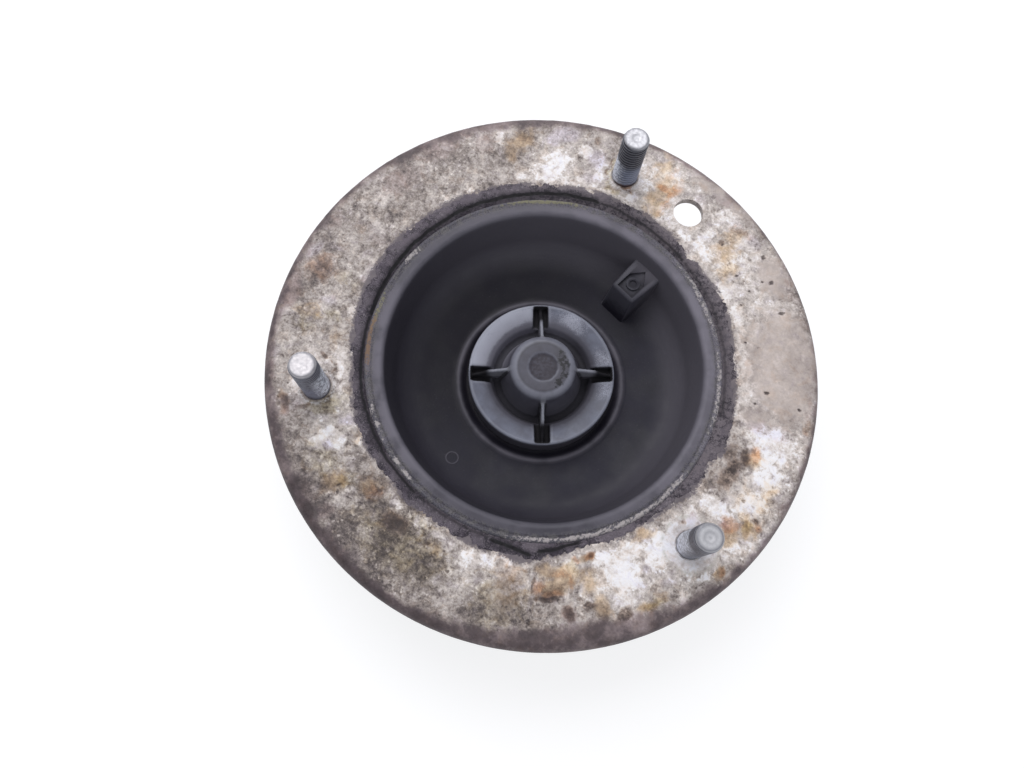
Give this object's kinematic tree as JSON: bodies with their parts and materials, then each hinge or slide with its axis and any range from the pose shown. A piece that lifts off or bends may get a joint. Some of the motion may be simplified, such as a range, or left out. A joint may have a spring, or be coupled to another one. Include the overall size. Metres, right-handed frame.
{
  "type": "strut mount",
  "caption": "Round suspension strut top mount: pressed steel flange with threaded studs, bonded rubber cone, sealed ball bearing for the strut rod and a plastic dust cap.",
  "frame": {"origin": "on the rod axis, in the plane of the hub's foot, which is the lowest face", "axes": "+Z along the rod axis, up towards the studs; +Y towards stud_1, the one next to the locating hole"},
  "size_m": [0.165, 0.165, 0.0615],
  "materials": {
    "flange_plate": "zinc-plated pressed sheet, corroded with white bloom and brown rust",
    "stud": "zinc-plated thread, dulled",
    "rubber_cone": "aged black rubber, dusty at the lip",
    "hub_housing": "black coated steel with light rust",
    "retaining_ring": "phosphated spring steel",
    "bearing_race": "ground bearing steel",
    "bearing_seal": "moulded seal rubber",
    "ball_cage": "moulded cage plastic",
    "ball": "polished bearing balls",
    "dust_cap": "dark moulded plastic with a soft shine, scuffed"
  },
  "bodies": {
    "mount": {"flange_plate": "flange_plate", "stud_1": "stud", "stud_2": "stud", "stud_3": "stud", "rubber_cone": "rubber_cone", "hub_housing": "hub_housing", "retaining_ring": "retaining_ring", "outer_race": "bearing_race", "upper_seal": "bearing_seal", "lower_seal": "bearing_seal"},
    "inner_ring": {"inner_race": "bearing_race"},
    "ball_train": {"ball_cage": "ball_cage", "ball_01": "ball", "ball_02": "ball", "ball_03": "ball", "ball_04": "ball", "ball_05": "ball", "ball_06": "ball", "ball_07": "ball", "ball_08": "ball", "ball_09": "ball", "ball_10": "ball", "ball_11": "ball", "ball_12": "ball"},
    "cap": {"dust_cap": "dust_cap"}
  },
  "joints": [
    {"name": "rod_turn", "type": "hinge", "parent": "mount", "child": "inner_ring", "pos_m": [0, 0, 0.0084], "axis": [0, 0, 1], "continuous": true},
    {"name": "cage_turn", "type": "hinge", "parent": "mount", "child": "ball_train", "pos_m": [0, 0, 0.0084], "axis": [0, 0, 1], "continuous": true},
    {"name": "cap_pull", "type": "slide", "parent": "mount", "child": "cap", "axis": [0, 0, 1], "range_m": [0, 0.045]}
  ],
  "couplings": [
    {"joint": "cage_turn", "follows": "rod_turn", "ratio": 0.395}
  ]
}
